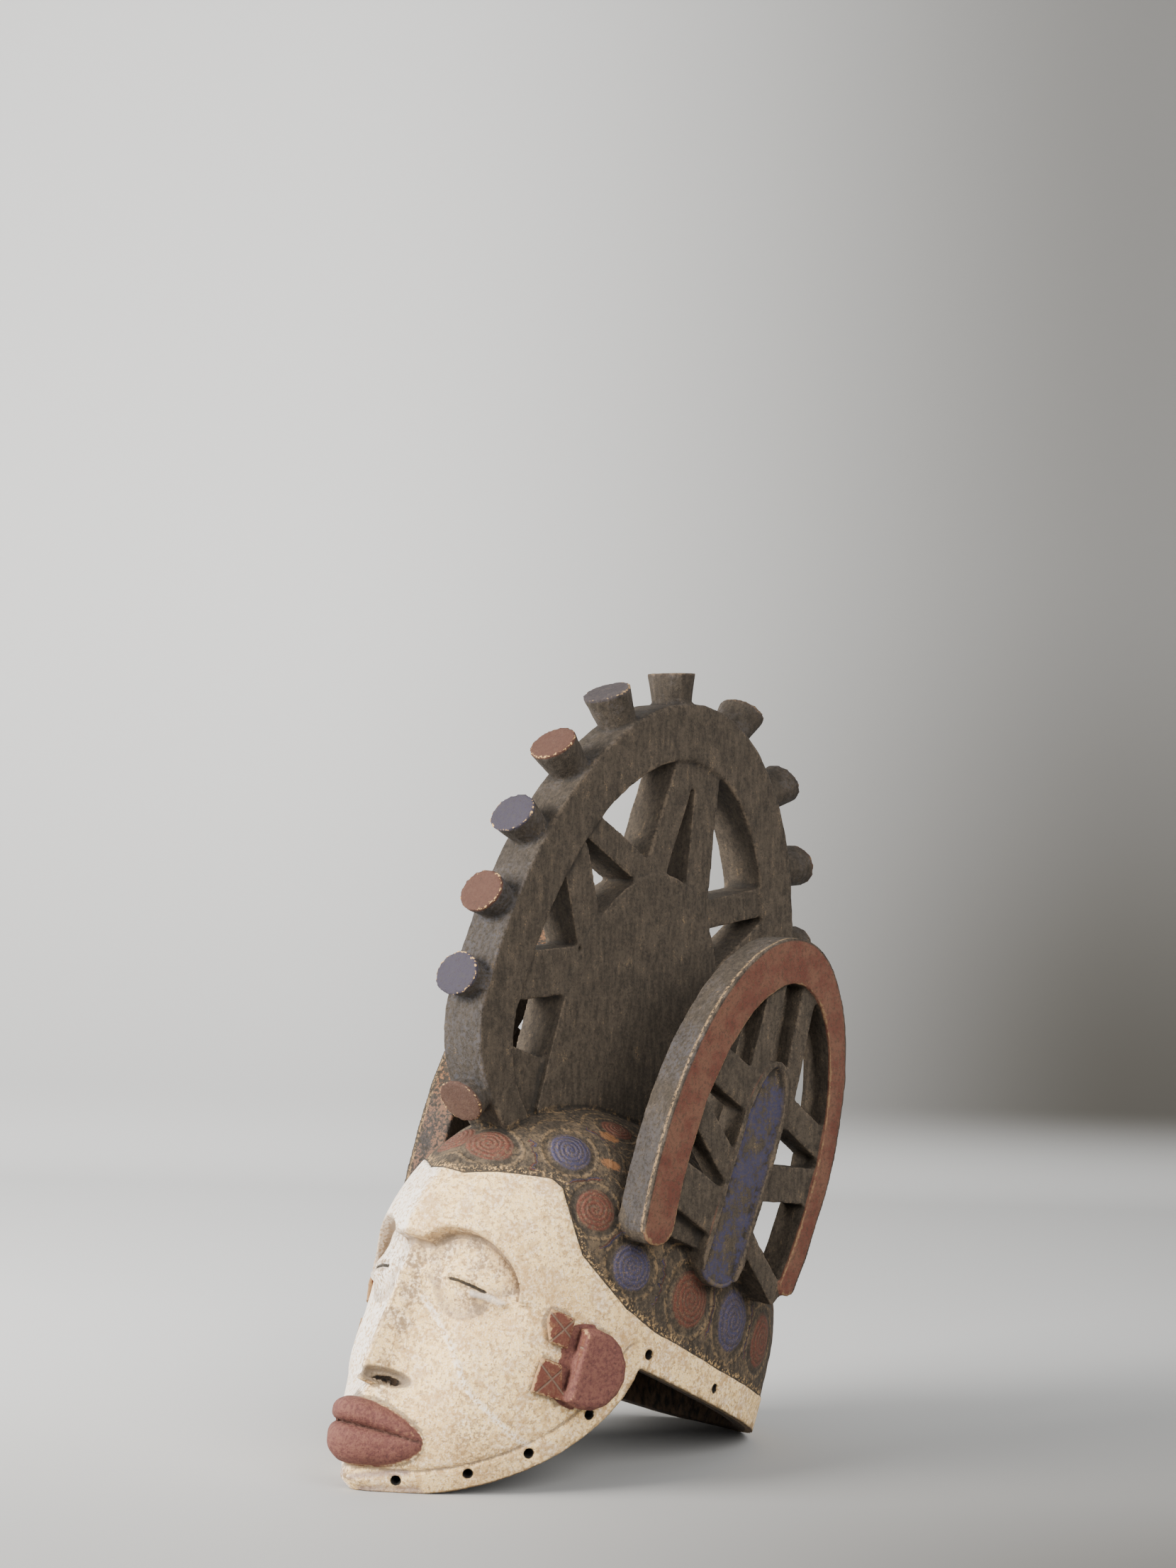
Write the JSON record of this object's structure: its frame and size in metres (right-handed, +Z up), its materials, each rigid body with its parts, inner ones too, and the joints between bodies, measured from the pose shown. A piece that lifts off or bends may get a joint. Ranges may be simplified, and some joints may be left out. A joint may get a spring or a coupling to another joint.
{
  "type": "agbogho mmuo helmet mask",
  "caption": "Carved wooden maiden spirit helmet mask: white face, hollow helmet, knobbed openwork middle crest and two side crests.",
  "frame": {"origin": "middle of the bounding box on the floor that the mask stands on, chin in front and nape behind", "axes": "+Z up, the face looks along -Y and leans back, +X is the mask's own left"},
  "size_m": [0.2326, 0.414, 0.5243],
  "materials": {
    "painted_wood": "matte, kaolin white face, dark brown hair and crests, red and blue details, worn"
  },
  "bodies": {
    "root": {"helmet_mask": "painted_wood"}
  },
  "joints": []
}
